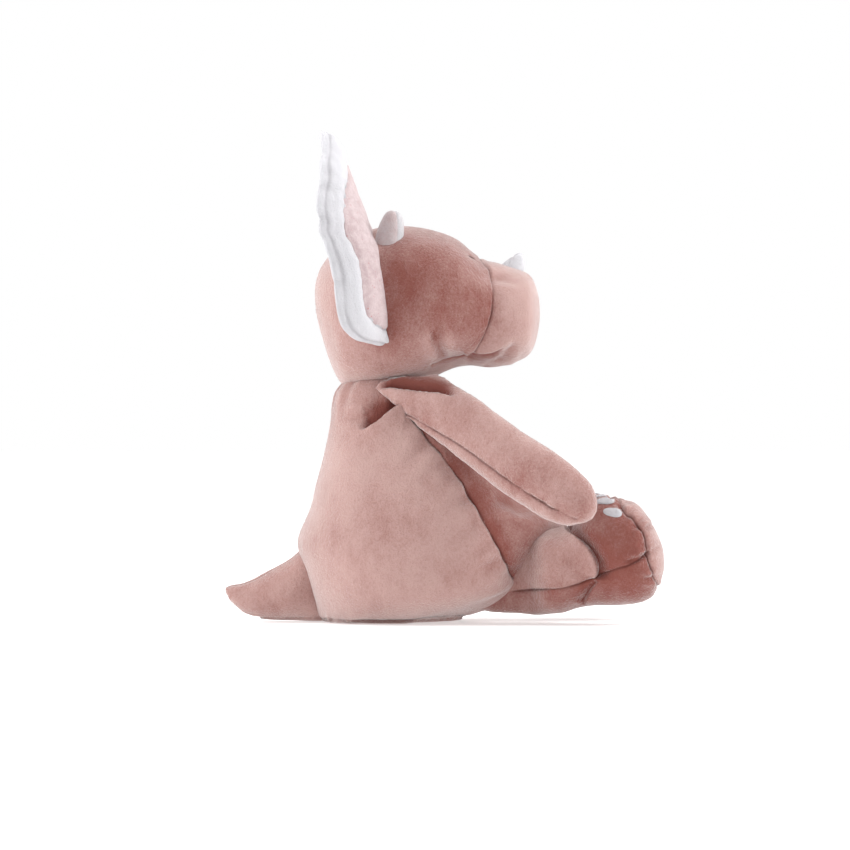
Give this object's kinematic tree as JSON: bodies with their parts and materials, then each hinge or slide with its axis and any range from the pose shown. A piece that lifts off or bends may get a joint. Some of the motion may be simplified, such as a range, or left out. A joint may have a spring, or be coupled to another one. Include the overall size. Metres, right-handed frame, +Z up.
{
  "type": "stuffed dinosaur toy",
  "caption": "Seated plush horned dinosaur with a padded neck frill, three soft horns, sewn-on arms, stub legs with flat soles, and a short tail.",
  "frame": {"origin": "centre of the flat seat that the toy rests on", "axes": "+X the way the toy faces, +Z up, so its right side is -Y"},
  "size_m": [0.3095, 0.2094, 0.35],
  "materials": {
    "rose_velour": "matte",
    "inset_velour": "matte",
    "white_velour": "matte",
    "filling": "matte",
    "pellet_pouch": "matte",
    "eye_thread": "matte"
  },
  "bodies": {
    "torso": {"seat_panel": "rose_velour", "belly_panel": "rose_velour", "torso_side_right": "rose_velour", "torso_side_left": "rose_velour", "seat_pellet_pouch": "pellet_pouch", "torso_filling": "filling"},
    "head": {"head_back_right": "rose_velour", "head_back_left": "rose_velour", "head_cheek_right": "rose_velour", "head_cheek_left": "rose_velour", "muzzle_panel": "rose_velour", "chin_panel": "rose_velour", "head_filling": "filling", "eye_right": "eye_thread", "eye_left": "eye_thread", "brow_horn_right_cover": "white_velour", "brow_horn_right_filling": "filling", "brow_horn_left_cover": "white_velour", "brow_horn_left_filling": "filling", "nose_horn_cover": "white_velour", "nose_horn_filling": "filling"},
    "frill": {"frill_back": "white_velour", "frill_border": "white_velour", "frill_inset": "inset_velour", "frill_wadding": "filling"},
    "arm_right": {"arm_right_outer_panel": "rose_velour", "arm_right_inner_panel": "rose_velour", "arm_right_filling": "filling"},
    "arm_left": {"arm_left_outer_panel": "rose_velour", "arm_left_inner_panel": "rose_velour", "arm_left_filling": "filling"},
    "leg_right": {"leg_right_upper_panel": "rose_velour", "leg_right_lower_panel": "rose_velour", "foot_right_sole": "rose_velour", "leg_right_filling": "filling", "claw_right_inner": "white_velour", "claw_right_middle": "white_velour", "claw_right_outer": "white_velour"},
    "leg_left": {"leg_left_upper_panel": "rose_velour", "leg_left_lower_panel": "rose_velour", "foot_left_sole": "rose_velour", "leg_left_filling": "filling", "claw_left_inner": "white_velour", "claw_left_middle": "white_velour", "claw_left_outer": "white_velour"},
    "tail": {"tail_side_right": "rose_velour", "tail_side_left": "rose_velour", "tail_filling": "filling"}
  },
  "joints": [
    {"name": "head_nod", "type": "hinge", "parent": "torso", "child": "head", "pos_m": [-0.009, 0, 0.133], "axis": [0, 1, 0], "range_deg": [-10, 10], "stiffness_Nm_per_rad": 3},
    {"name": "frill_fold", "type": "hinge", "parent": "head", "child": "frill", "pos_m": [-0.015, 0, 0.24], "axis": [0, 1, 0], "range_deg": [-15, 0], "stiffness_Nm_per_rad": 0.4},
    {"name": "shoulder_right", "type": "hinge", "parent": "torso", "child": "arm_right", "pos_m": [0.0017, -0.036, 0.172], "axis": [-0.96, 0, -0.28], "range_deg": [0, 80]},
    {"name": "shoulder_left", "type": "hinge", "parent": "torso", "child": "arm_left", "pos_m": [0.0017, 0.036, 0.172], "axis": [0.96, 0, 0.28], "range_deg": [0, 80]},
    {"name": "hip_right", "type": "hinge", "parent": "torso", "child": "leg_right", "pos_m": [0.066, -0.034, 0.033], "axis": [0, -1, 0], "range_deg": [-4, 25], "stiffness_Nm_per_rad": 1.5},
    {"name": "hip_left", "type": "hinge", "parent": "torso", "child": "leg_left", "pos_m": [0.066, 0.034, 0.033], "axis": [0, -1, 0], "range_deg": [-4, 25], "stiffness_Nm_per_rad": 1.5},
    {"name": "tail_lift", "type": "hinge", "parent": "torso", "child": "tail", "pos_m": [-0.064, 0, 0.028], "axis": [0, 1, 0], "range_deg": [0, 25], "stiffness_Nm_per_rad": 0.5}
  ]
}
